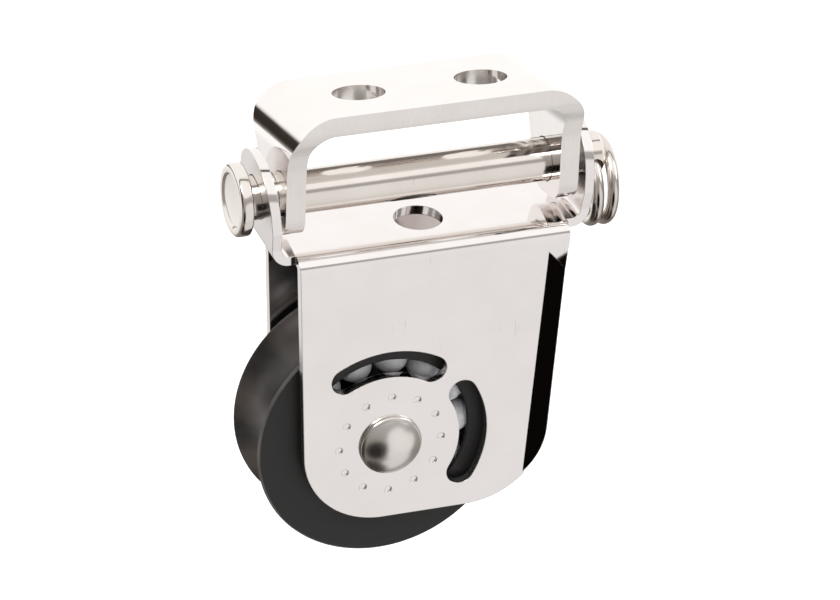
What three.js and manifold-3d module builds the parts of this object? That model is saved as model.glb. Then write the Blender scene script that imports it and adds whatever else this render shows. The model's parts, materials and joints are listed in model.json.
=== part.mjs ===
// A single sheave block: one ball-bearing sheave in a folded stainless frame, which hangs on a clevis
// pin from a screw-on bracket. Millimetres and degrees. +X runs along the pin towards the split ring,
// +Y to the rear, +Z up. The origin is the middle of the bracket's top face.

import * as THREE from "three";
import { mergeVertices } from "three/addons/utils/BufferGeometryUtils.js";
import { ConvexGeometry } from "three/addons/geometries/ConvexGeometry.js";
import Module from "manifold-3d";

const wasm = await Module();
wasm.setup();

// ---- Driving dimensions -------------------------------------------------------------------------
// Sizes of the block are measured from the middle of the pin's axis.

const PIN_RADIUS = 2.5;
const PIN_BORE_RADIUS = 2.6; // a running fit in the ears and in the bracket's legs
const PIN_END_X = 21.3;
const PIN_HEAD_X = -20.6; // where the head starts, a little clear of the ear
const PIN_HEAD_RADIUS = 4.15;
const PIN_HEAD_LENGTH = 1.5;
const PIN_CHAMFER = 0.45;
const PIN_DISH = { radius: 2.9, depth: 0.25 };

const RING_WIRE_RADIUS = 0.7;
const RING_MEAN_RADIUS = 4.65;
const RING_DROP = 4.285; // the ring's centre hangs this far below the pin's axis
const RING_LEAN = 17; // the ring and the pin's cross hole are turned back by this much
const CROSS_HOLE = { x: 20.1, radius: 0.88, stretch: 0.27 }; // a little taller than wide, for the curved wire
// Where the wire lies along the pin, every 60 degrees from just behind the cross hole. One turn goes
// through the hole, and the next passes outside the pin's end.
const WIRE_PLACES = [20.05, 20.1, 20.2, 20.42, 20.7, 21.05, 21.78, 22.1, 22.05, 22.05, 22.16, 22.52];
const WIRE_PLACE_STEP = 60;
const WIRE_START = -60;

const SHEET = 1.1;
const BLOCK_HALF_DEPTH = 6.4;
const PLATE_TOP = -5.4;
const CHEEK_BEND = 1.5; // outer radius
const EAR_FACE_X = 18.7;
const EAR_BEND = 2.1; // outer radius
const EAR_RADIUS = 5.5;
const LEFT_EAR_LEAN = 6; // the left ear is bent a little less than square
const EAR_FOOT = { halfWidth: 4.7, shoulderZ: -2, topZ: -4.4 }; // the neck between an ear and the plate
const PLATE_HOLE_RADIUS = 2.8;

const CORNER = { x: 5.07, z: -30.5, radius: 9.65 }; // the arcs at the cheeks' lower corners
const SIDE_TAPER = 2.8;

const LIP_TOP = { x: 13.6, z: -8.1 }; // the fold line of the lips, as seen from the front
const LIP_FOOT = { x: 12.0, z: -37.1 };
const LIP_FLARE = 18;
const LIP_BLEND = 3.5; // height of the facet that brings a lip back to the flat cheek
const LIP_SLICE = { inside: 0.5, outside: 2 }; // how far past the sheet's faces a lip is cut out
const LIP_JOIN = 0.05; // how far a facet reaches into its lip, so that the two join

const AXLE = { x: -4.5, z: CORNER.z };
const SLOT = { x: -4.95, z: CORNER.z, radius: 10.4, halfWidth: 1.66, halfAngle: 29.8, middles: [90, 1] };
const MARK = { count: 12, circle: 6.1, radius: 0.45, depth: 0.2, sides: 10 };

const SHEAVE = { radius: 15.1, halfWidth: 4.65, bore: 9.9, race: 11.2, raceY: 4.2, rim: 0.35, groove: 2.2, edge: 0.2 };
const BALL = { radius: 2.05, circle: 9.05, count: 13, rowY: 2.07, phase: 83 };
const HUB = { radius: 6.9, flange: 7.4, flangeY: 4.35, halfLength: 5.15 };
const RIVET = { shank: 2.6, fit: 0.15, head: 3.65, rim: 0.5, dome: 1.0, gap: 0.03 };

const BRACKET_LEAN = 12; // the bracket's top leans back from the block
const BRACKET_SHEET = 2.25;
const BRACKET_HALF_WIDTH = 17.15;
const BRACKET_MIDDLE = { x: -0.1, y: -0.4 };
const BRACKET_TOP = 10.56;
const BRACKET_BEND = 5.0; // outer radius
const BRACKET_HALF_DEPTH = 8.3;
const LEG = { foot: -4.0, corner: 3.0, shoulderZ: 9.6, waistZ: 3.0, waist: 5.0, ankleZ: -1.4, ankle: 4.2 };
const LEG_CURVE = { shoulderPull: 7.2, waistPull: 6.6, flare: 0.6, toe: 0.4 }; // control points of the sides
const SCREW_HOLE = { radius: 2.98, spacing: 14.3, x: 0.15 };

const BEYOND = 30; // cutting tools and rough strips reach this far, past everything they meet

// Sides of round shapes, and steps along curves.
const ROUND = 40;
const CROSS_HOLE_STEPS = 10;
const SHEAVE_SIDES = 56;
const GROOVE_STEPS = 12;
const BEND_STEPS = 6;
const BRACKET_BEND_STEPS = 10;
const LEG_STEPS = 8;
const CORNER_STEPS = 14;
const EAR_STEPS = 20;
const SLOT_STEPS = 12;
const WIRE = { steps: 64, sides: 10 };

// ---- Materials ----------------------------------------------------------------------------------

const polishedSteel = new THREE.MeshStandardMaterial({ color: 0xe6e2dd, roughness: 0.08, metalness: 1 });
const turnedSteel = new THREE.MeshStandardMaterial({ color: 0xd8d0c6, roughness: 0.16, metalness: 1 });
const blackPlastic = new THREE.MeshStandardMaterial({ color: 0x2b2a29, roughness: 0.55, metalness: 0 });
const ballPlastic = new THREE.MeshStandardMaterial({ color: 0xe2e3e6, roughness: 0.35, metalness: 0 });

// ---- Small tools --------------------------------------------------------------------------------

const radians = THREE.MathUtils.degToRad;
const X_AXIS = new THREE.Vector3(1, 0, 0);
const Y_AXIS = new THREE.Vector3(0, 1, 0);
const Z_AXIS = new THREE.Vector3(0, 0, 1);
const SHAPE_TO_YZ = new THREE.Matrix4().makeBasis(Y_AXIS, Z_AXIS, X_AXIS);
const SHAPE_TO_XZ = new THREE.Matrix4().makeBasis(X_AXIS, Z_AXIS, Y_AXIS.clone().negate());

// A closed geometry as a solid that can be joined and cut.
function solid(geometry) {
  const bare = geometry.index ? geometry.toNonIndexed() : geometry.clone();
  bare.deleteAttribute("normal");
  bare.deleteAttribute("uv");
  const merged = mergeVertices(bare, 1e-4);
  return new wasm.Manifold(
    new wasm.Mesh({
      numProp: 3,
      vertProperties: merged.attributes.position.array,
      triVerts: Uint32Array.from(merged.index.array),
    }),
  );
}

function geometryOf(body) {
  const { vertProperties, triVerts } = body.getMesh();
  const geometry = new THREE.BufferGeometry();
  geometry.setAttribute("position", new THREE.BufferAttribute(vertProperties, 3));
  geometry.setIndex(new THREE.BufferAttribute(triVerts, 1));
  return geometry;
}

function named(name, geometry, material) {
  const mesh = new THREE.Mesh(geometry, material);
  mesh.name = name;
  return mesh;
}

// Extrudes a shape drawn in Y and Z from x = from to x = to.
function alongX(shape, from, to, curveSegments = BEND_STEPS) {
  const geometry = new THREE.ExtrudeGeometry(shape, { depth: to - from, bevelEnabled: false, curveSegments });
  return geometry.applyMatrix4(SHAPE_TO_YZ).translate(from, 0, 0);
}

// Extrudes a shape drawn in X and Z from y = from to y = to.
function alongY(shape, from, to, curveSegments = BEND_STEPS) {
  const geometry = new THREE.ExtrudeGeometry(shape, { depth: to - from, bevelEnabled: false, curveSegments });
  return geometry.applyMatrix4(SHAPE_TO_XZ).translate(0, to, 0);
}

function polygon(...corners) {
  return new THREE.Shape(corners.map(([u, v]) => new THREE.Vector2(u, v)));
}

function roundHoleAlongX(radius, length) {
  return new THREE.CylinderGeometry(radius, radius, length, ROUND).rotateZ(Math.PI / 2);
}

// A turned part about +Y from [radius, y] pairs, anticlockwise with the radius to the right.
function turned(profile, sides = ROUND) {
  return new THREE.LatheGeometry(profile.map(([r, y]) => new THREE.Vector2(r, y)), sides);
}

// Points on an arc, both ends included.
function arc(cx, cy, radius, from, to, steps) {
  return Array.from({ length: steps + 1 }, (_, i) => {
    const angle = radians(from + ((to - from) * i) / steps);
    return [cx + radius * Math.cos(angle), cy + radius * Math.sin(angle)];
  });
}

// A strip bent to a U that opens towards +v: outer half width, outer face of the floor, bend, top.
function bentStrip(halfWidth, floor, bend, thickness, top) {
  const middle = halfWidth - bend;
  const centre = floor + bend;
  const shape = new THREE.Shape();
  shape.absarc(-middle, centre, bend, Math.PI, 1.5 * Math.PI, false);
  shape.absarc(middle, centre, bend, 1.5 * Math.PI, 2 * Math.PI, false);
  shape.lineTo(halfWidth, top);
  shape.lineTo(halfWidth - thickness, top);
  shape.absarc(middle, centre, bend - thickness, 2 * Math.PI, 1.5 * Math.PI, true);
  shape.absarc(-middle, centre, bend - thickness, 1.5 * Math.PI, Math.PI, true);
  shape.lineTo(thickness - halfWidth, top);
  shape.lineTo(-halfWidth, top);
  return shape;
}

// ---- Mounting bracket ---------------------------------------------------------------------------

// The flat bar's outline seen from the side: wide at the top plate, waisted down to each leg.
function legOutline() {
  const { shoulderPull, waistPull, flare, toe } = LEG_CURVE;
  const { shoulderZ, waist, waistZ } = LEG;
  const wide = BRACKET_HALF_DEPTH;
  const shape = new THREE.Shape();
  shape.moveTo(-wide, BEYOND);
  shape.lineTo(-wide, shoulderZ);
  shape.bezierCurveTo(-wide, shoulderPull, -waist - flare, waistPull, -waist, waistZ);
  shape.lineTo(-LEG.ankle, LEG.ankleZ);
  shape.quadraticCurveTo(-LEG.ankle + toe, LEG.foot, -LEG.ankle + LEG.corner, LEG.foot);
  shape.lineTo(LEG.ankle - LEG.corner, LEG.foot);
  shape.quadraticCurveTo(LEG.ankle - toe, LEG.foot, LEG.ankle, LEG.ankleZ);
  shape.lineTo(waist, waistZ);
  shape.bezierCurveTo(waist + flare, waistPull, wide, shoulderPull, wide, shoulderZ);
  shape.lineTo(wide, BEYOND);
  return shape;
}

function mountingBracket() {
  const { x, y } = BRACKET_MIDDLE;
  const profile = bentStrip(BRACKET_HALF_WIDTH, -BRACKET_TOP, BRACKET_BEND, BRACKET_SHEET, BEYOND);
  const bar = alongY(profile, -BRACKET_HALF_DEPTH, BRACKET_HALF_DEPTH, BRACKET_BEND_STEPS);
  bar.rotateY(Math.PI).translate(x, y, 0);
  const sides = alongX(legOutline(), -BEYOND, BEYOND, LEG_STEPS).translate(0, y, 0);
  let body = solid(bar).intersect(solid(sides));
  body = body.subtract(solid(roundHoleAlongX(PIN_BORE_RADIUS, 2 * BEYOND)));
  for (const side of [-1, 1]) {
    const hole = new THREE.CylinderGeometry(SCREW_HOLE.radius, SCREW_HOLE.radius, 2 * BRACKET_BEND, ROUND);
    hole.rotateX(Math.PI / 2).translate(SCREW_HOLE.x + (side * SCREW_HOLE.spacing) / 2, y, BRACKET_TOP);
    body = body.subtract(solid(hole));
  }
  return named("mounting_bracket", geometryOf(body), polishedSteel);
}

// ---- Block frame --------------------------------------------------------------------------------

// The right edge of a cheek at height z.
function cheekEdgeX(z) {
  const taper = radians(SIDE_TAPER);
  const startX = CORNER.x + CORNER.radius * Math.cos(taper);
  const startZ = CORNER.z - CORNER.radius * Math.sin(taper);
  return startX + (z - startZ) * Math.tan(taper);
}

function cheekOutline() {
  const taper = radians(SIDE_TAPER);
  const top = 0;
  const shape = new THREE.Shape();
  shape.absarc(CORNER.x, CORNER.z, CORNER.radius, -taper, -Math.PI / 2, true);
  shape.absarc(-CORNER.x, CORNER.z, CORNER.radius, -Math.PI / 2, taper - Math.PI, true);
  shape.lineTo(-cheekEdgeX(top), top);
  shape.lineTo(cheekEdgeX(top), top);
  return shape;
}

// The sheet folded down at the front and the rear, cut to the cheeks' outline.
function channel() {
  const profile = bentStrip(BLOCK_HALF_DEPTH, -PLATE_TOP, CHEEK_BEND, SHEET, 2 * BEYOND);
  const folded = alongX(profile, -BEYOND, BEYOND).rotateX(Math.PI);
  return solid(folded).intersect(solid(alongY(cheekOutline(), -BEYOND, BEYOND, CORNER_STEPS)));
}

// The two ears, and the strip of the plate between them.
function ears() {
  const profile = bentStrip(EAR_FACE_X, PLATE_TOP - SHEET, EAR_BEND, SHEET, BEYOND);
  const strip = alongY(profile, -EAR_RADIUS, EAR_RADIUS);
  const shape = new THREE.Shape();
  shape.absarc(0, 0, EAR_RADIUS, 0, Math.PI, false);
  shape.lineTo(-EAR_RADIUS, EAR_FOOT.shoulderZ);
  shape.lineTo(-EAR_FOOT.halfWidth, EAR_FOOT.topZ);
  shape.lineTo(-EAR_FOOT.halfWidth, -BEYOND);
  shape.lineTo(EAR_FOOT.halfWidth, -BEYOND);
  shape.lineTo(EAR_FOOT.halfWidth, EAR_FOOT.topZ);
  shape.lineTo(EAR_RADIUS, EAR_FOOT.shoulderZ);
  const square = solid(strip).intersect(solid(alongX(shape, -BEYOND, BEYOND, EAR_STEPS)));
  return solid(leanLeftEar(geometryOf(square)));
}

// Leans the flat of the left ear outwards above its bend.
function leanLeftEar(geometry) {
  const position = geometry.getAttribute("position");
  const bendTop = PLATE_TOP - SHEET + EAR_BEND;
  for (let i = 0; i < position.count; i += 1) {
    const above = position.getZ(i) - bendTop;
    if (position.getX(i) < 0 && above > 0) {
      position.setX(i, position.getX(i) - above * Math.tan(radians(LEFT_EAR_LEAN)));
    }
  }
  return geometry;
}

// Turns a geometry about the inner edge of a lip's fold, outwards on that side of the block.
function flared(geometry, side) {
  const foot = new THREE.Vector3(LIP_FOOT.x, side * (BLOCK_HALF_DEPTH - SHEET), LIP_FOOT.z);
  const top = new THREE.Vector3(LIP_TOP.x, foot.y, LIP_TOP.z);
  const fold = top.clone().sub(foot).normalize();
  const turn = new THREE.Matrix4().makeRotationAxis(fold, side * radians(LIP_FLARE));
  return geometry.translate(-foot.x, -foot.y, -foot.z).applyMatrix4(turn).translate(foot.x, foot.y, foot.z);
}

// The three-cornered facet that joins the top of a lip to the flat cheek.
function lipFacet(side, bottom) {
  const outer = side * BLOCK_HALF_DEPTH;
  const inner = side * (BLOCK_HALF_DEPTH - SHEET);
  const onLip = [
    [LIP_TOP.x, LIP_TOP.z - LIP_JOIN],
    [cheekEdgeX(bottom), bottom],
    [cheekEdgeX(bottom - LIP_JOIN), bottom - LIP_JOIN],
  ];
  const flat = [
    [LIP_TOP.x, LIP_TOP.z],
    [cheekEdgeX(lipTopEdgeZ()), lipTopEdgeZ()],
  ];
  const lipPoints = onLip.flatMap(([x, z]) => [x, outer, z, x, inner, z]);
  const lip = new THREE.BufferGeometry();
  lip.setAttribute("position", new THREE.Float32BufferAttribute(lipPoints, 3));
  const position = flared(lip, side).getAttribute("position");
  const corners = onLip.flatMap((_, i) => [2 * i, 2 * i + 1]);
  const points = corners.map((i) => new THREE.Vector3().fromBufferAttribute(position, i));
  for (const [x, z] of flat) {
    points.push(new THREE.Vector3(x, outer, z), new THREE.Vector3(x, inner, z));
  }
  return new ConvexGeometry(points);
}

// Where the flat cheek ends and the bend to the plate begins.
function lipTopEdgeZ() {
  return PLATE_TOP - CHEEK_BEND;
}

// Bends the right edge of one cheek outwards to a lip that keeps the rope off the cut edge.
function withLip(frame, side) {
  const bottom = lipTopEdgeZ() - LIP_BLEND;
  const inner = side * (BLOCK_HALF_DEPTH - SHEET - LIP_SLICE.inside);
  const outer = side * (BLOCK_HALF_DEPTH + LIP_SLICE.outside);
  const reach = [Math.min(inner, outer), Math.max(inner, outer)];
  const below = 2 * LIP_FOOT.z;
  const slope = (LIP_TOP.x - LIP_FOOT.x) / (LIP_TOP.z - LIP_FOOT.z);
  const footX = LIP_TOP.x + slope * (below - LIP_TOP.z);
  const top = [LIP_TOP.x, LIP_TOP.z];
  const farSlope = (bottom - LIP_TOP.z) / (cheekEdgeX(bottom) - LIP_TOP.x);
  const far = (slopeUp) => [BEYOND, LIP_TOP.z + slopeUp * (BEYOND - LIP_TOP.x)];
  const cut = polygon(top, far(farSlope), [BEYOND, below], [footX, below]);
  const lip = frame.intersect(solid(alongY(cut, ...reach)));
  const edgeSlope = (lipTopEdgeZ() - LIP_TOP.z) / (cheekEdgeX(lipTopEdgeZ()) - LIP_TOP.x);
  const cleared = polygon(top, far(edgeSlope), [BEYOND, below], [footX, below]);
  return frame
    .subtract(solid(alongY(cleared, ...reach)))
    .add(solid(lipFacet(side, bottom)))
    .add(solid(flared(geometryOf(lip), side)));
}

// A slot along an arc over the balls, with round ends, cut through both cheeks.
function arcSlot(middle) {
  const from = radians(middle - SLOT.halfAngle);
  const to = radians(middle + SLOT.halfAngle);
  const end = (angle) => [SLOT.x + SLOT.radius * Math.cos(angle), SLOT.z + SLOT.radius * Math.sin(angle)];
  const shape = new THREE.Shape();
  shape.absarc(SLOT.x, SLOT.z, SLOT.radius + SLOT.halfWidth, from, to, false);
  shape.absarc(...end(to), SLOT.halfWidth, to, to + Math.PI, false);
  shape.absarc(SLOT.x, SLOT.z, SLOT.radius - SLOT.halfWidth, to, from, true);
  shape.absarc(...end(from), SLOT.halfWidth, from + Math.PI, from + 2 * Math.PI, false);
  return alongY(shape, -BEYOND, BEYOND, SLOT_STEPS);
}

function roundHoleAlongY(x, z, radius, from, to, sides = ROUND) {
  return new THREE.CylinderGeometry(radius, radius, to - from, sides).translate(x, (from + to) / 2, z);
}

// Shallow dots stamped into the front cheek in a ring round the rivet.
function stampedMarks() {
  const face = -BLOCK_HALF_DEPTH;
  return Array.from({ length: MARK.count }, (_, i) => {
    const angle = (2 * Math.PI * i) / MARK.count;
    const x = AXLE.x + MARK.circle * Math.cos(angle);
    const z = AXLE.z + MARK.circle * Math.sin(angle);
    return roundHoleAlongY(x, z, MARK.radius, face - MARK.depth, face + MARK.depth, MARK.sides);
  });
}

function blockFrame() {
  let body = channel().add(ears());
  body = withLip(withLip(body, -1), 1);
  const plateHole = new THREE.CylinderGeometry(PLATE_HOLE_RADIUS, PLATE_HOLE_RADIUS, 4 * SHEET, ROUND);
  const cuts = [
    plateHole.rotateX(Math.PI / 2).translate(0, 0, PLATE_TOP),
    roundHoleAlongX(PIN_BORE_RADIUS, 2 * BEYOND),
    roundHoleAlongY(AXLE.x, AXLE.z, RIVET.shank + RIVET.fit, -BEYOND, BEYOND),
    ...SLOT.middles.map(arcSlot),
    ...stampedMarks(),
  ];
  for (const cut of cuts) {
    body = body.subtract(solid(cut));
  }
  return named("block_frame", geometryOf(body), polishedSteel);
}

// ---- Pin and split ring -------------------------------------------------------------------------

function clevisPin() {
  const head = PIN_HEAD_X - PIN_HEAD_LENGTH;
  const c = PIN_CHAMFER;
  const profile = [
    [0, head + PIN_DISH.depth],
    [PIN_DISH.radius, head + PIN_DISH.depth],
    [PIN_DISH.radius + PIN_DISH.depth, head],
    [PIN_HEAD_RADIUS - c, head],
    [PIN_HEAD_RADIUS, head + c],
    [PIN_HEAD_RADIUS, PIN_HEAD_X - c / 2],
    [PIN_HEAD_RADIUS - c / 2, PIN_HEAD_X],
    [PIN_RADIUS, PIN_HEAD_X],
    [PIN_RADIUS, PIN_END_X - c],
    [PIN_RADIUS - c, PIN_END_X],
    [0, PIN_END_X],
  ];
  const pin = turned(profile).rotateZ(-Math.PI / 2);
  const { x, radius, stretch } = CROSS_HOLE;
  const hole = new THREE.Shape();
  hole.absarc(x, stretch, radius, 0, Math.PI, false);
  hole.absarc(x, -stretch, radius, Math.PI, 2 * Math.PI, false);
  const crossHole = alongY(hole, -BEYOND, BEYOND, CROSS_HOLE_STEPS);
  const geometry = geometryOf(solid(pin).subtract(solid(crossHole)));
  return named("clevis_pin", geometry.rotateX(radians(RING_LEAN)), turnedSteel);
}

// The ring's wire: an open coil that starts behind the cross hole and goes through it to the front.
class RingPath extends THREE.Curve {
  constructor() {
    super();
    this.places = new THREE.SplineCurve(
      WIRE_PLACES.map((x, i) => new THREE.Vector2(WIRE_START + i * WIRE_PLACE_STEP, x)),
    );
  }

  getPoint(t, target = new THREE.Vector3()) {
    const { x: turn, y: place } = this.places.getPoint(t);
    const y = -RING_MEAN_RADIUS * Math.sin(radians(turn));
    const z = RING_MEAN_RADIUS * Math.cos(radians(turn)) - RING_DROP;
    return target.set(place, y, z);
  }
}

function splitRing() {
  const section = new THREE.Shape();
  section.absarc(0, 0, RING_WIRE_RADIUS, 0, 2 * Math.PI, false);
  const { steps, sides } = WIRE;
  const options = { steps, extrudePath: new RingPath(), bevelEnabled: false, curveSegments: sides };
  const geometry = new THREE.ExtrudeGeometry(section, options).rotateX(radians(RING_LEAN));
  return named("split_ring", geometry, turnedSteel);
}

// ---- Sheave, bearing and axle -------------------------------------------------------------------

function sheave() {
  const { radius, halfWidth, bore, race, raceY, rim, groove, edge } = SHEAVE;
  const lip = halfWidth - rim; // where the groove starts
  const grooveRadius = (lip * lip + groove * groove) / (2 * groove);
  const spread = THREE.MathUtils.radToDeg(Math.asin(lip / grooveRadius));
  const centre = radius - groove + grooveRadius;
  const profile = [
    [bore, -halfWidth + edge],
    [bore + edge, -halfWidth],
    [radius - rim, -halfWidth],
    [radius, -lip],
    ...arc(centre, 0, grooveRadius, 180 + spread, 180 - spread, GROOVE_STEPS).slice(1, -1),
    [radius, lip],
    [radius - rim, halfWidth],
    [bore + edge, halfWidth],
    [bore, halfWidth - edge],
    [bore, raceY],
    [race, raceY],
    [race, -raceY],
    [bore, -raceY],
    [bore, -halfWidth + edge],
  ];
  const geometry = turned(profile, SHEAVE_SIDES).translate(AXLE.x, 0, AXLE.z);
  return named("sheave", geometry, blackPlastic);
}

function bearingHub() {
  const { radius, flange, flangeY, halfLength } = HUB;
  const bore = RIVET.shank + RIVET.fit;
  const profile = [
    [bore, -halfLength],
    [flange, -halfLength],
    [flange, -flangeY],
    [radius, -flangeY],
    [radius, flangeY],
    [flange, flangeY],
    [flange, halfLength],
    [bore, halfLength],
    [bore, -halfLength],
  ];
  return named("bearing_hub", turned(profile).translate(AXLE.x, 0, AXLE.z), blackPlastic);
}

function axleRivet() {
  const face = BLOCK_HALF_DEPTH + RIVET.gap;
  const rim = face + RIVET.rim;
  const domeRadius = (RIVET.head ** 2 + RIVET.dome ** 2) / (2 * RIVET.dome);
  const spread = THREE.MathUtils.radToDeg(Math.asin(RIVET.head / domeRadius));
  const dome = arc(0, rim + RIVET.dome - domeRadius, domeRadius, 90 - spread, 90, BEND_STEPS);
  dome[dome.length - 1][0] = 0;
  const rear = [[RIVET.shank, 0], [RIVET.shank, face], [RIVET.head, face], ...dome];
  const front = rear.slice(1).map(([r, y]) => [r, -y]).reverse();
  return named("axle_rivet", turned([...front, ...rear.slice(1)]).translate(AXLE.x, 0, AXLE.z), turnedSteel);
}

function bearingBalls() {
  const rows = [
    { name: "front", y: -BALL.rowY, phase: BALL.phase },
    { name: "rear", y: BALL.rowY, phase: BALL.phase + 180 / BALL.count },
  ];
  return rows.flatMap(({ name, y, phase }) =>
    Array.from({ length: BALL.count }, (_, i) => {
      const angle = radians(phase + (360 * i) / BALL.count);
      const ball = named(
        `ball_${name}_${String(i + 1).padStart(2, "0")}`,
        new THREE.IcosahedronGeometry(BALL.radius, 1),
        ballPlastic,
      );
      ball.position.set(AXLE.x + BALL.circle * Math.cos(angle), y, AXLE.z + BALL.circle * Math.sin(angle));
      return ball;
    }),
  );
}

// ---- The whole block ----------------------------------------------------------------------------

const bracket = new THREE.Group().add(mountingBracket());
bracket.rotation.x = -radians(BRACKET_LEAN);

const fromPin = new THREE.Group().add(
  bracket,
  blockFrame(),
  clevisPin(),
  splitRing(),
  sheave(),
  bearingHub(),
  axleRivet(),
  ...bearingBalls(),
);
const topFace = new THREE.Vector3(BRACKET_MIDDLE.x, BRACKET_MIDDLE.y, BRACKET_TOP);
fromPin.position.copy(topFace.applyEuler(bracket.rotation)).negate();

export default new THREE.Group().add(fromPin);
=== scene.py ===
"""Looks for a single sheave block: polished sheet steel, turned pins, a moulded sheave and plastic balls."""

import json
import math

import bmesh
import bpy
from mathutils import Matrix, Vector


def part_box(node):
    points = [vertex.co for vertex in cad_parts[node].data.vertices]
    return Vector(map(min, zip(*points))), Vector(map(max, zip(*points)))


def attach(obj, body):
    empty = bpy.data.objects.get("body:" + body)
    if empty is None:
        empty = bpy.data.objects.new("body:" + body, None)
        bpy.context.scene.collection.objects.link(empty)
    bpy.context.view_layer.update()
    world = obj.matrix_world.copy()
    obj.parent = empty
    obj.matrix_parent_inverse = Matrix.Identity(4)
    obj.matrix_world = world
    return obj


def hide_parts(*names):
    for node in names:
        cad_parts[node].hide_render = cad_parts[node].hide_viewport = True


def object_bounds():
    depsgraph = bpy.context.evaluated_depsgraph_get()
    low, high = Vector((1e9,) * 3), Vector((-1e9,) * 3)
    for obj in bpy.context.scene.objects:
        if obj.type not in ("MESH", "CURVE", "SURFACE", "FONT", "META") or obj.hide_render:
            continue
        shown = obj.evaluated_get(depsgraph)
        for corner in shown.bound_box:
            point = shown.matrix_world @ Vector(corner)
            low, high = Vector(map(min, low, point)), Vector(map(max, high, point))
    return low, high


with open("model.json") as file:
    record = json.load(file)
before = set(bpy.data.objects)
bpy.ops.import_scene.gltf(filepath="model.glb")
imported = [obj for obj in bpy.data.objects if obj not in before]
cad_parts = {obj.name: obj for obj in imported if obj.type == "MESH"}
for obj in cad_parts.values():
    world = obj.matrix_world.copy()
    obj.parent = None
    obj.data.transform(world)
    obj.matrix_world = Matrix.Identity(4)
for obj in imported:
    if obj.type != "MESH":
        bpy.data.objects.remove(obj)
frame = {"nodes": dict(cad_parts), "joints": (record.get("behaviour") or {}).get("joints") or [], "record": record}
CAD_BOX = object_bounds()

MM = 0.001

JOINTS = {joint["name"]: joint for joint in frame["joints"]}
PIN_CENTRE = Vector(JOINTS["pin_turn"]["pos_m"])
AXLE_CENTRE = Vector(JOINTS["sheave_spin"]["pos_m"])
RING_HINGE = Vector(JOINTS["ring_swing"]["pos_m"])
RING_AXIS = Vector(JOINTS["ring_swing"]["axis"])
RING_LEAN = math.atan2(RING_AXIS.z, RING_AXIS.y)
ALONG_PIN, ALONG_AXLE = Vector((1, 0, 0)), Vector((0, 1, 0))
ROUND_STEPS, SHEAVE_STEPS = 96, 160  # steps in a full turn

# ---- Camera ---------------------------------------------------------------------------------------

AZIMUTH, ELEVATION, ROLL = -21.0, 30.0, 2.78  # degrees
LENS, SENSOR = 214.3, 36.0  # mm
CAMERA_DISTANCE = 555.6 * MM
AIM_BELOW_PIN = 13.87 * MM  # how far under the pin, in the picture's plane, the camera aims


def add_camera():
    a, e = math.radians(AZIMUTH), math.radians(ELEVATION)
    back = Vector((math.sin(a) * math.cos(e), -math.cos(a) * math.cos(e), math.sin(e)))
    turned = back.to_track_quat("Z", "Y").to_matrix() @ Matrix.Rotation(math.radians(ROLL), 3, "Z")
    data = bpy.data.cameras.new("camera")
    data.lens, data.sensor_width = LENS, SENSOR
    data.clip_start, data.clip_end = 0.01, 20.0
    camera = bpy.data.objects.new("camera", data)
    camera.rotation_mode = "QUATERNION"
    camera.rotation_quaternion = turned.to_quaternion()
    camera.location = PIN_CENTRE - turned.col[1] * AIM_BELOW_PIN + back * CAMERA_DISTANCE
    bpy.context.scene.collection.objects.link(camera)
    bpy.context.scene.camera = camera


# ---- Node recipes ---------------------------------------------------------------------------------


class Signal:
    """One output of a node. Arithmetic on it adds Math nodes to the same tree."""

    def __init__(self, recipe, socket):
        self.recipe, self.socket = recipe, socket

    def _math(self, operation, first, second):
        return self.recipe.node("ShaderNodeMath", {"operation": operation}, {0: first, 1: second})

    def __add__(self, other):
        return self._math("ADD", self, other)

    def __radd__(self, other):
        return self._math("ADD", other, self)

    def __sub__(self, other):
        return self._math("SUBTRACT", self, other)

    def __rsub__(self, other):
        return self._math("SUBTRACT", other, self)

    def __mul__(self, other):
        return self._math("MULTIPLY", self, other)

    def __rmul__(self, other):
        return self._math("MULTIPLY", other, self)


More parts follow.
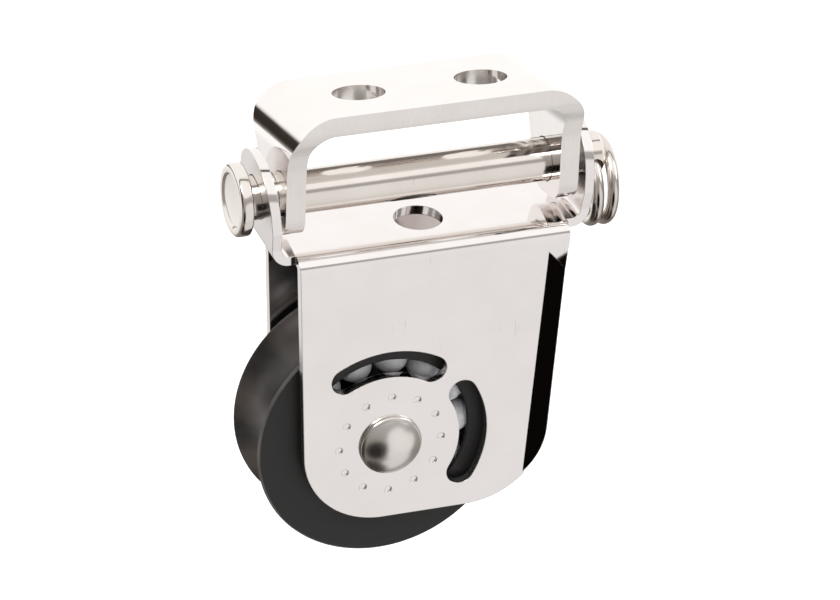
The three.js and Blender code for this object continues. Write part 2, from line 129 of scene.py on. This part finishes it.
class Recipe:
    """A node tree that is written as expressions."""

    def __init__(self, tree):
        self.tree = tree
        tree.nodes.clear()

    def node(self, kind, settings=None, inputs=None, output=0):
        made = self.tree.nodes.new(kind)
        for key, value in (settings or {}).items():
            if key == "stops":
                self._set_stops(made.color_ramp, value)
            else:
                setattr(made, key, value)
        for key, value in (inputs or {}).items():
            self.feed(made.inputs[key], value)
        return Signal(self, made.outputs[output]) if made.outputs else None

    def feed(self, socket, value):
        if isinstance(value, Signal):
            self.tree.links.new(value.socket, socket)
        else:
            socket.default_value = value

    @staticmethod
    def _set_stops(ramp, stops):
        while len(ramp.elements) < len(stops):
            ramp.elements.new(1.0)
        for element, (place, colour) in zip(ramp.elements, stops):
            element.position, element.color = place, (*colour, 1.0)

    def place(self):
        """Object coordinates, in metres."""
        return self.node("ShaderNodeTexCoord", output="Object")

    def noise(self, place, size, detail=3.0, roughness=0.55, stretch=(1, 1, 1)):
        """Noise from 0 to 1 whose features are about size metres across."""
        scaled = self.node(
            "ShaderNodeMapping",
            {"vector_type": "POINT"},
            {"Vector": place, "Scale": stretch},
        )
        wanted = {"Vector": scaled, "Scale": 1 / size, "Detail": detail, "Roughness": roughness}
        return self.node("ShaderNodeTexNoise", {"noise_dimensions": "3D"}, wanted)

    def mapped(self, value, low, high, to_low=0.0, to_high=1.0):
        wanted = {"Value": value, "From Min": low, "From Max": high, "To Min": to_low, "To Max": to_high}
        return self.node("ShaderNodeMapRange", {"interpolation_type": "SMOOTHSTEP"}, wanted)

    def blend(self, factor, first, second):
        """A colour between two colours."""
        made = self.tree.nodes.new("ShaderNodeMix")
        made.data_type = "RGBA"
        for name, value in (("Factor_Float", factor), ("A_Color", first), ("B_Color", second)):
            socket = next(s for s in made.inputs if s.identifier == name)
            self.feed(socket, (*value, 1.0) if isinstance(value, tuple) and len(value) == 3 else value)
        return Signal(self, next(s for s in made.outputs if s.identifier == "Result_Color"))

    def bump(self, height, distance, strength=1.0, normal=None):
        wanted = {"Height": height, "Distance": distance, "Strength": strength}
        if normal is not None:
            wanted["Normal"] = normal
        return self.node("ShaderNodeBump", {}, wanted, "Normal")


def surface(name, constants, build):
    """A material with a Principled shader. build(recipe) gives what varies, by socket name."""
    material = bpy.data.materials.new(name)
    material.use_nodes = True
    recipe = Recipe(material.node_tree)
    shader = recipe.node("ShaderNodeBsdfPrincipled", {}, constants | build(recipe))
    recipe.node("ShaderNodeOutputMaterial", {}, {"Surface": shader})
    return material


# ---- Materials ------------------------------------------------------------------------------------


CLOUD_SIZE, RIPPLE_SIZE, PATCH_SIZE = 5 * MM, 7 * MM, 3 * MM
SPECK_SIZE, HAIR_SIZE, SHEAR_SIZE = 0.22 * MM, 0.5 * MM, 0.16 * MM
HAIR_STRETCH, CUT_STRETCH = (1.0, 1.0, 0.06), (1.0, 1.0, 0.08)  # both run up and down
LINE_HEIGHT = 0.0008 * MM
EVEN, ALONG_X, SLIGHTLY_UPRIGHT = (1, 1, 1), (0.03, 1, 1), (1, 1, 0.3)


def steel(
    name, colour, dark, roughness, spread, line_size, line_stretch, waviness, cut=False, round_edge=0.0
):
    """Bright stainless with slow ripples, fine lines, specks and a few hairline scratches.

    cut adds sheared edges where the cut_edge attribute is 1, and round_edge shades sharp corners as round.
    """

    def build(r):
        place = r.place()
        cloud = r.noise(place, CLOUD_SIZE, 3.0)
        lines = r.noise(place, line_size, 3.0, 0.7, line_stretch)
        specks = r.mapped(r.noise(place, SPECK_SIZE, 2.0), 0.70, 0.76)
        hairs = r.mapped(r.noise(place, HAIR_SIZE, 1.0, 0.5, HAIR_STRETCH), 0.70, 0.73)
        hairs = hairs * r.mapped(r.noise(place, PATCH_SIZE, 1.0), 0.55, 0.65)
        ripple = r.noise(place, RIPPLE_SIZE, 1.0)
        rough = roughness + spread * (0.6 * cloud + 0.4 * lines) + 0.08 * specks
        tone = 0.45 * cloud + 0.5 * specks + 0.35 * hairs
        height = lines
        if cut:
            edge = r.node("ShaderNodeAttribute", {"attribute_name": "cut_edge"}, {}, "Fac")
            shear = r.noise(place, SHEAR_SIZE, 4.0, 0.75, CUT_STRETCH)
            rough = rough + edge * (0.08 + 0.12 * shear)
            tone = tone + edge * (0.10 + 0.35 * shear)
            height = lines + 6.0 * edge * shear
        rounded = r.node("ShaderNodeBevel", {"samples": 6}, {"Radius": round_edge}) if round_edge else None
        slow = r.bump(ripple, waviness, 1.0, rounded)
        return {
            "Base Color": r.blend(tone, colour, dark),
            "Roughness": rough,
            "Normal": r.bump(height, LINE_HEIGHT, 1.0, slow),
        }

    return surface(name, {"Metallic": 1.0}, build)


DUST_SIZE = 0.35 * MM
# painted sheen: a brown painted into the groove, and a lighter grey painted on the rims as highlights
GROOVE_SHEEN_BROWN, RIM_HIGHLIGHT_GREY = (0.060, 0.047, 0.040), (0.085, 0.078, 0.074)
SHEEN_STREAK_SIZE, SHEEN_STREAK_STRETCH = 4.5 * MM, (1.0, 0.35, 1.0)  # the streaks of the painted sheen are drawn out across the groove


def plastic(name, colour, pale, roughness, grain, grain_height, painted_sheen=False):
    """Moulded plastic with a fine grain and a little dust. The last flag adds a brown sheen painted into the
    groove and highlights painted along the rims.
    """

    def build(r):
        place = r.place()
        cloud = r.noise(place, CLOUD_SIZE, 3.0)
        fine = r.noise(place, grain, 3.0, 0.65)
        dust = r.mapped(r.noise(place, DUST_SIZE, 2.0), 0.66, 0.74)
        tint = r.blend(0.5 * cloud + 0.25 * dust, colour, pale)
        rough = roughness + 0.14 * (cloud - 0.5) + 0.08 * (fine - 0.5)
        if painted_sheen:
            # painted sheen: the groove gets a painted brown sheen and the rims a painted highlight, both in
            # streaks; the groove is also less rough
            groove = r.node("ShaderNodeAttribute", {"attribute_name": "groove"}, {}, "Fac")
            rim = r.node("ShaderNodeAttribute", {"attribute_name": "rim"}, {}, "Fac")
            sheen_streaks = r.noise(place, SHEEN_STREAK_SIZE, 2.0, 0.45, SHEEN_STREAK_STRETCH)
            # the groove's painted brown sheen, in streaks
            tint = r.blend(groove * r.mapped(sheen_streaks, 0.30, 0.72), tint, GROOVE_SHEEN_BROWN)
            # painted highlight: a lighter grey painted along the sheave's rims
            tint = r.blend(rim * r.mapped(sheen_streaks, 0.2, 0.6, 0.35, 1.0), tint, RIM_HIGHLIGHT_GREY)
            rough = rough - groove * (0.10 + 0.14 * sheen_streaks)
        return {
            "Base Color": tint,
            "Roughness": rough,
            "Normal": r.bump(fine, grain_height),
        }

    return surface(name, {"IOR": 1.5}, build)


BALL_GRAIN, BALL_GRAIN_HEIGHT = 0.3 * MM, 0.002 * MM


def ball_plastic():
    """Milky plastic that lets some light through."""

    def build(r):
        place = r.place()
        cloud = r.noise(place, PATCH_SIZE, 2.0)
        fine = r.noise(place, BALL_GRAIN, 2.0)
        return {
            "Base Color": r.blend(cloud, (0.66, 0.67, 0.70), (0.78, 0.78, 0.81)),
            "Roughness": 0.40 + 0.14 * fine,
            "Normal": r.bump(fine, BALL_GRAIN_HEIGHT),
        }

    constants = {
        "Subsurface Weight": 0.9,
        "Subsurface Radius": (1.0, 1.0, 1.0),
        "Subsurface Scale": 1.4 * MM,
    }
    return surface("ball_plastic", constants, build)


# ---- Pieces ---------------------------------------------------------------------------------------


def piece_from(bm, name, body, material, slot_name, *nodes):
    """Makes an object of a bmesh, lets it ride on a body and stand for its CAD nodes."""
    mesh = bpy.data.meshes.new(name)
    bm.to_mesh(mesh)
    bm.free()
    for face in mesh.polygons:
        face.use_smooth = True
    mesh.materials.append(material)
    piece = bpy.data.objects.new(name, mesh)
    bpy.context.scene.collection.objects.link(piece)
    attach(piece, body)
    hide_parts(*nodes)
    return piece


def soften(piece, width, angle=35.0, segments=3):
    """Breaks the sharp edges and keeps the flats flat."""
    bevel = piece.modifiers.new("edge_break", "BEVEL")
    bevel.width, bevel.segments, bevel.profile = width, segments, 0.5
    bevel.limit_method, bevel.angle_limit = "ANGLE", math.radians(angle)
    bevel.use_clamp_overlap = True
    bevel.miter_outer = "MITER_ARC"
    normals = piece.modifiers.new("flat_faces", "WEIGHTED_NORMAL")
    normals.mode, normals.weight, normals.keep_sharp = "FACE_AREA", 100, True


SAME_PLACE = 0.002 * MM
CREASE, FLAT = math.radians(16.0), math.radians(0.3)  # sharper stays sharp, and less is one flat
COPLANAR = math.radians(0.6)


def flat_areas(bm):
    """The area of the whole flat that each face is part of."""
    area = {}
    for start in bm.faces:
        if start in area:
            continue
        flat, waiting = {start}, [start]
        while waiting:
            for edge in waiting.pop().edges:
                for other in edge.link_faces:
                    if other not in flat and other.normal.angle(start.normal, 0.0) < FLAT:
                        flat.add(other)
                        waiting.append(other)
        total = sum(face.calc_area() for face in flat) / MM**2
        area.update({face: total for face in flat})
    return area


def corner_normals(bm):
    """One normal a corner. The largest flat at a corner leads it, and creases stay sharp."""
    area, normals = flat_areas(bm), []
    for face in bm.faces:
        for corner in face.loops:
            near = [f for f in corner.vert.link_faces if f.normal.angle(face.normal, 0.0) < CREASE]
            normal = sum((f.normal * area[f] ** 2 for f in near), Vector())
            normals.append(normal.normalized())
    return normals


def folded_sheet(node, name, body, material, slot_name, is_cut, edge=0.0):
    """A copy of a CAD sheet part. is_cut tells a cut face by its normal.

    With an edge, the corners are broken by that width. Without one, only the corners' normals are set.
    """
    bm = bmesh.new()
    bm.from_mesh(frame["nodes"][node].data)
    bmesh.ops.remove_doubles(bm, verts=bm.verts, dist=SAME_PLACE)
    if edge:
        bmesh.ops.dissolve_limit(bm, angle_limit=COPLANAR, verts=bm.verts, edges=bm.edges)
    cut = bm.faces.layers.float.new("cut_edge")
    for face in bm.faces:
        face[cut] = 1.0 if is_cut(face.normal) else 0.0
    bm.normal_update()
    normals = None if edge else corner_normals(bm)
    piece = piece_from(bm, name, body, material, slot_name, node)
    if edge:
        soften(piece, edge)
    else:
        piece.data.normals_split_custom_set(normals)


def arc(centre, radius, start, stop, steps):
    """Points on an arc in the plane of radius and length."""
    angles = [math.radians(start + (stop - start) * i / steps) for i in range(steps + 1)]
    return [(centre[0] + radius * math.cos(a), centre[1] + radius * math.sin(a)) for a in angles]


def turned_part(profile, centre, axis, steps, closed):
    """Spins a profile of (radius, length) pairs about an axis through centre."""
    bm = bmesh.new()
    side = Vector((0, 0, 1))
    verts = [bm.verts.new(centre + side * r + axis * length) for r, length in profile]
    pairs = list(zip(verts, verts[1:])) + ([(verts[-1], verts[0])] if closed else [])
    edges = [bm.edges.new(pair) for pair in pairs]
    bmesh.ops.spin(
        bm, geom=verts + edges, cent=centre, axis=axis, angle=2 * math.pi, steps=steps, use_merge=True
    )
    bmesh.ops.remove_doubles(bm, verts=bm.verts, dist=0.001 * MM)
    bmesh.ops.recalc_face_normals(bm, faces=bm.faces)
    return bm


def span(node, axis):
    """The lowest and highest place of a CAD node along one axis."""
    low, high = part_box(node)
    return low[axis], high[axis]


def add_sheave(material):
    low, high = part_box("sheave")
    radius, half = (high.x - low.x) / 2, (high.y - low.y) / 2
    bore, race, race_y = 9.9 * MM, 11.2 * MM, 4.2 * MM
    groove, rim, edge = 2.2 * MM, 0.35 * MM, 0.2 * MM
    lip = half - rim
    groove_radius = (lip * lip + groove * groove) / (2 * groove)
    spread = math.degrees(math.asin(lip / groove_radius))
    centre = (radius - groove + groove_radius, 0.0)
    profile = (
        arc((bore + edge, -half + edge), edge, 180, 270, 5)
        + arc((radius - rim, -half + rim), rim, 270, 360, 6)
        + arc(centre, groove_radius, 180 + spread, 180 - spread, 36)[1:-1]
        + arc((radius - rim, half - rim), rim, 0, 90, 6)
        + arc((bore + edge, half - edge), edge, 90, 180, 5)
        + [(bore, race_y), (race, race_y), (race, -race_y), (bore, -race_y)]
    )
    bm = turned_part(profile, AXLE_CENTRE, ALONG_AXLE, SHEAVE_STEPS, True)
    # the groove and rim masks place the painted sheen and the painted rim highlights of the sheave's material
    in_groove, on_rim = bm.faces.layers.float.new("groove"), bm.faces.layers.float.new("rim")
    for face in bm.faces:
        out = face.calc_center_median() - AXLE_CENTRE
        outside = math.hypot(out.x, out.z) > race + 1.5 * MM
        face[in_groove] = 1.0 if outside and abs(out.y) < lip else 0.0
        face[on_rim] = 1.0 if outside and lip <= abs(out.y) < half - 0.02 * MM else 0.0
    piece = piece_from(bm, "grooved_sheave", "sheave", material, "sheave_plastic", "sheave")
    soften(piece, 0.08 * MM, 50, 2)


def add_hub(material):
    low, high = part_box("bearing_hub")
    flange, half = (high.x - low.x) / 2, (high.y - low.y) / 2
    race, flange_y, bore = 6.9 * MM, 4.35 * MM, 2.75 * MM
    profile = [(bore, -half), (flange, -half), (flange, -flange_y), (race, -flange_y)]
    profile += [(r, -y) for r, y in reversed(profile)]
    bm = turned_part(profile, AXLE_CENTRE, ALONG_AXLE, ROUND_STEPS, True)
    piece = piece_from(bm, "hub_race", "block", material, "hub_plastic", "bearing_hub")
    soften(piece, 0.15 * MM)


def add_rivet(material):
    low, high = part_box("axle_rivet")
    head, half = (high.x - low.x) / 2, (high.y - low.y) / 2
    shank, rim, dome, roll, chamfer = 2.6 * MM, 0.5 * MM, 1.0 * MM, 0.2 * MM, 0.1 * MM
    face = half - rim - dome
    dome_radius = ((head - roll) ** 2 + dome * dome) / (2 * dome)
    spread = math.degrees(math.asin((head - roll) / dome_radius))
    cap = arc((0.0, half - dome_radius), dome_radius, 90 - spread, 90, 14)
    cap[-1] = (0.0, cap[-1][1])
    rear = [(shank, 0.0), (shank, face), (head - chamfer, face), (head, face + chamfer)]
    rear += arc((head - roll, face + rim - roll), roll, 0, 60, 4) + cap
    profile = [(r, -y) for r, y in reversed(rear[1:])] + rear
    bm = turned_part(profile, AXLE_CENTRE, ALONG_AXLE, ROUND_STEPS, False)
    piece_from(bm, "domed_rivet", "block", material, "turned_steel", "axle_rivet")


def add_pin(material):
    left, right = span("clevis_pin", 0)
    head_radius = (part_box("clevis_pin")[1].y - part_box("clevis_pin")[0].y) / 2
    shank, chamfer, head, root = 2.5 * MM, 0.45 * MM, 1.5 * MM, 0.15 * MM
    hole, stretch, through = 0.88 * MM, 0.27 * MM, 12 * MM
    dish, depth = 2.9 * MM, 0.25 * MM
    start = left - PIN_CENTRE.x
    profile = [(0.0, start + depth), (dish, start + depth), (dish + depth, start)]
    profile += arc((head_radius - chamfer, start + chamfer), chamfer, -90, 0, 5)
    profile += arc((head_radius - chamfer / 2, start + head - chamfer / 2), chamfer / 2, 0, 90, 4)
    profile += [(shank + root, start + head), (shank, start + head + root)]
    end = right - PIN_CENTRE.x
    profile += [(shank, end - chamfer), (shank - chamfer, end), (0.0, end)]
    bm = turned_part(profile, PIN_CENTRE, ALONG_PIN, ROUND_STEPS, False)
    piece = piece_from(bm, "headed_pin", "pin", material, "turned_steel", "clevis_pin")
    cross = bpy.data.meshes.new("cross_hole")
    cutter = bmesh.new()
    bmesh.ops.create_cone(
        cutter, cap_ends=True, segments=48, radius1=hole, radius2=hole, depth=through,
        matrix=Matrix.Rotation(math.pi / 2, 4, "X"),
    )
    for vert in cutter.verts:
        vert.co.z += stretch if vert.co.z > 0 else -stretch
    lean = Matrix.Translation(RING_HINGE) @ Matrix.Rotation(RING_LEAN, 4, "X")
    bmesh.ops.transform(cutter, matrix=lean, verts=cutter.verts)
    cutter.to_mesh(cross)
    cutter.free()
    tool = bpy.data.objects.new("cross_hole", cross)
    bpy.context.scene.collection.objects.link(tool)
    cut = piece.modifiers.new("cross_hole", "BOOLEAN")
    cut.operation, cut.object, cut.solver = "DIFFERENCE", tool, "EXACT"
    apply_modifiers(piece)
    bpy.data.objects.remove(tool)
    soften(piece, 0.1 * MM, 35, 2)


def apply_modifiers(piece):
    """Makes a piece's mesh what its modifiers show, and drops them."""
    shown = piece.evaluated_get(bpy.context.evaluated_depsgraph_get())
    mesh = bpy.data.meshes.new_from_object(shown)
    piece.modifiers.clear()
    piece.data = mesh


WIRE_PLACES = (20.05, 20.1, 20.2, 20.42, 20.7, 21.05, 21.78, 22.1, 22.05, 22.05, 22.16, 22.52)  # mm
WIRE_PLACE_STEP, WIRE_START = 60.0, -60.0  # degrees round the ring


def wire_place(turn):
    """Where the ring's wire lies along the pin, on a smooth curve through WIRE_PLACES."""
    at = (turn - WIRE_START) / WIRE_PLACE_STEP
    i = min(int(at), len(WIRE_PLACES) - 2)
    t = at - i
    last = len(WIRE_PLACES) - 1
    p0, p1, p2, p3 = (WIRE_PLACES[max(0, min(last, i + k))] for k in (-1, 0, 1, 2))
    v0, v1 = (p2 - p0) / 2, (p3 - p1) / 2
    cubic = (2 * p1 - 2 * p2 + v0 + v1) * t**3 + (3 * p2 - 3 * p1 - 2 * v0 - v1) * t**2
    return (cubic + v0 * t + p1) * MM


def add_ring(material):
    wire, mean, drop = 0.7 * MM, 4.65 * MM, 4.285 * MM
    centre = PIN_CENTRE - Vector((0, 0, drop))
    turns = (len(WIRE_PLACES) - 1) * WIRE_PLACE_STEP
    steps = 220
    step = turns / steps
    bm = bmesh.new()
    made = bmesh.ops.create_circle(bm, cap_ends=False, segments=24, radius=wire)
    top = centre + Vector((wire_place(WIRE_START), 0, mean))
    start = Matrix.Translation(centre) @ Matrix.Rotation(math.radians(WIRE_START), 4, "X")
    upright = Matrix.Translation(top - centre) @ Matrix.Rotation(math.pi / 2, 4, "X")
    bmesh.ops.transform(bm, matrix=start @ upright, verts=made["verts"])
    last = list(bm.verts) + list(bm.edges)
    for i in range(steps):
        turn = WIRE_START + i * step
        along = wire_place(turn + step) - wire_place(turn)
        spun = bmesh.ops.spin(
            bm, geom=last, cent=centre, axis=ALONG_PIN, dvec=Vector((along, 0, 0)),
            angle=math.radians(step), steps=1, use_merge=False,
        )
        last = spun["geom_last"]
    bmesh.ops.remove_doubles(bm, verts=bm.verts, dist=0.0005 * MM)
    bmesh.ops.holes_fill(bm, edges=[e for e in bm.edges if e.is_boundary])
    bmesh.ops.recalc_face_normals(bm, faces=bm.faces)
    lean = Matrix.Rotation(RING_LEAN, 3, "X")
    bmesh.ops.rotate(bm, cent=PIN_CENTRE, matrix=lean, verts=bm.verts)
    piece = piece_from(bm, "wire_ring", "ring", material, "spring_steel", "split_ring")
    soften(piece, 0.2 * MM, 60)


BALL_RADIUS, BALL_FINENESS = 2.05 * MM, 4


def add_balls(material):
    for node in frame["record"]["behaviour"]["bodies"]["balls"]:
        low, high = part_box(node)
        bm = bmesh.new()
        bmesh.ops.create_icosphere(
            bm, subdivisions=BALL_FINENESS, radius=BALL_RADIUS, matrix=Matrix.Translation((low + high) / 2)
        )
        piece_from(bm, "round_" + node, "balls", material, "ball_plastic", node)


# ---- Studio ---------------------------------------------------------------------------------------

FLOOR_DROP, FLOOR_SIZE = 60 * MM, 3.0  # m
WHITE, BROWN = (1.0, 0.985, 0.972), (0.30, 0.225, 0.17)


def add_world():
    """A white surround for the camera, and soft boxes with dark gaps for the polished steel to mirror."""
    world = bpy.data.worlds.new("studio")
    bpy.context.scene.world = world
    world.use_nodes = True
    r = Recipe(world.node_tree)
    way = r.node("ShaderNodeTexCoord", output="Generated")
    parts = r.node("ShaderNodeSeparateXYZ", {}, {"Vector": way}, "X")
    x, y, z = (Signal(r, parts.socket.node.outputs[i]) for i in range(3))

    def cone(direction, half, soft):
        wanted = {0: way, 1: Vector(direction).normalized()}
        facing = r.node("ShaderNodeVectorMath", {"operation": "DOT_PRODUCT"}, wanted, "Value")
        return r.mapped(facing, math.cos(math.radians(half + soft)), math.cos(math.radians(half)))

    def between(value, low, high, soft):
        return r.mapped(value, low - soft, low) * r.mapped(value, high, high + soft, 1.0, 0.0)

    light = 0.50 + 0.12 * z
    line = between(z, -0.24, -0.10, 0.09)
    for mask, level in (
        (r.mapped(y, -0.02, 0.12) * r.mapped(z, -0.75, -0.35), 1.14),  # the wide box behind
        (cone((0.1, -0.50, 0.86), 27, 5), 1.15),  # the box above the front
        (cone((0.50, -0.74, -0.45), 24, 5), 0.90),  # the panel in front, to the right
        (cone((0.38, -0.92, -0.10), 16, 6), 0.92),  # the panel that the bracket's front edge mirrors
        (cone((0.36, -0.40, -0.84), 15, 9), 0.82),  # the light card low in front
        (cone((-0.24, -0.84, -0.50), 17, 5), 0.01),  # the dark flag in front, to the left
        (cone((-0.16, -0.16, -0.97), 15, 9), 0.15),  # the dark card below
        (between(y, -0.045, 0.015, 0.03) * r.mapped(z, 0.5, 0.7), 0.16),  # the gap between the boxes
        (line * r.mapped(y, 0.3, 0.5) * r.mapped(x, -0.12, -0.25), 0.12),  # the line behind, to the left
        (cone((-0.85, -0.45, 0.25), 13, 17), 0.22),  # the dark card at the far left
    ):
        light = light + mask * (level - light)
    tint = r.blend(r.mapped(light, 0.1, 0.75), BROWN, WHITE)
    seen = r.node("ShaderNodeLightPath", output="Is Camera Ray")
    tint = r.blend(seen, tint, (1.0, 1.0, 1.0))
    strength = light + seen * (1.0 - light)
    back = r.node("ShaderNodeBackground", {}, {"Color": tint, "Strength": strength})
    r.node("ShaderNodeOutputWorld", {}, {"Surface": back})


def floor_material():
    def build(r):
        cloud = r.noise(r.place(), 0.4, 2.0)
        return {"Base Color": r.blend(cloud, (0.95, 0.95, 0.95), (0.97, 0.97, 0.97))}

    constants = {"Roughness": 0.9, "Emission Color": (1, 1, 1, 1), "Emission Strength": 0.35}
    return surface("pale_floor", constants, build)


def add_floor():
    bm = bmesh.new()
    low = CAD_BOX[0].z - FLOOR_DROP
    level = Matrix.Translation((0, 0, low))
    bmesh.ops.create_grid(bm, x_segments=2, y_segments=2, size=FLOOR_SIZE, matrix=level)
    mesh = bpy.data.meshes.new("floor")
    bm.to_mesh(mesh)
    bm.free()
    mesh.materials.append(floor_material())
    floor = bpy.data.objects.new("floor", mesh)
    floor.visible_glossy = False
    bpy.context.scene.collection.objects.link(floor)


def add_light(name, place, size, power):
    data = bpy.data.lights.new(name, "AREA")
    data.shape, data.size, data.energy = "DISK", size, power
    light = bpy.data.objects.new(name, data)
    light.location = place
    light.rotation_euler = (PIN_CENTRE - light.location).to_track_quat("-Z", "Y").to_euler()
    bpy.context.scene.collection.objects.link(light)


# ---- The whole scene ------------------------------------------------------------------------------

add_camera()
add_world()
add_floor()
add_light("key", Vector((-0.5, -0.5, 0.9)), 0.5, 4.0)
add_light("fill", Vector((0.7, -0.4, 0.4)), 0.6, 1.5)
bpy.context.scene.view_settings.view_transform = "Standard"

sheet_steel = steel(
    "sheet_steel", colour=(0.88, 0.85, 0.843), dark=(0.72, 0.68, 0.65), roughness=0.05, spread=0.06,
    line_size=0.4 * MM, line_stretch=EVEN, waviness=0.010 * MM, cut=True, round_edge=0.12 * MM,
)
bar_steel = steel(
    "bar_steel", colour=(0.90, 0.875, 0.86), dark=(0.74, 0.70, 0.66), roughness=0.06, spread=0.06,
    line_size=0.4 * MM, line_stretch=EVEN, waviness=0.014 * MM, cut=True,
)
pin_steel = steel(
    "pin_steel", colour=(0.84, 0.80, 0.76), dark=(0.62, 0.55, 0.49), roughness=0.09, spread=0.10,
    line_size=0.25 * MM, line_stretch=ALONG_X, waviness=0.006 * MM,
)
wire_steel = steel(
    "wire_steel", colour=(0.76, 0.71, 0.67), dark=(0.60, 0.55, 0.50), roughness=0.12, spread=0.10,
    line_size=0.3 * MM, line_stretch=EVEN, waviness=0.004 * MM,
)
rivet_steel = steel(
    "rivet_steel", colour=(0.86, 0.83, 0.80), dark=(0.64, 0.58, 0.53), roughness=0.16, spread=0.14,
    line_size=0.35 * MM, line_stretch=SLIGHTLY_UPRIGHT, waviness=0.012 * MM,
)
sheave_black = plastic(
    "sheave_black", colour=(0.008, 0.0075, 0.0078), pale=(0.019, 0.0175, 0.017), roughness=0.56,
    grain=0.18 * MM, grain_height=0.006 * MM, painted_sheen=True,
)
hub_black = plastic(
    "hub_black", colour=(0.014, 0.014, 0.015), pale=(0.026, 0.026, 0.026), roughness=0.45,
    grain=0.2 * MM, grain_height=0.004 * MM,
)

folded_sheet(
    "block_frame", "folded_cheeks", "block", sheet_steel, "polished_steel",
    lambda n: abs(n.y) < 0.7 and abs(n.x) > 0.3 and n.z < 0.3,
)
folded_sheet(
    "mounting_bracket", "bent_bracket", "bracket", bar_steel, "polished_steel",
    lambda n: abs(n.y) > 0.8, 0.2 * MM,
)
add_pin(pin_steel)
add_ring(wire_steel)
add_sheave(sheave_black)
add_hub(hub_black)
add_rivet(rivet_steel)
add_balls(ball_plastic())
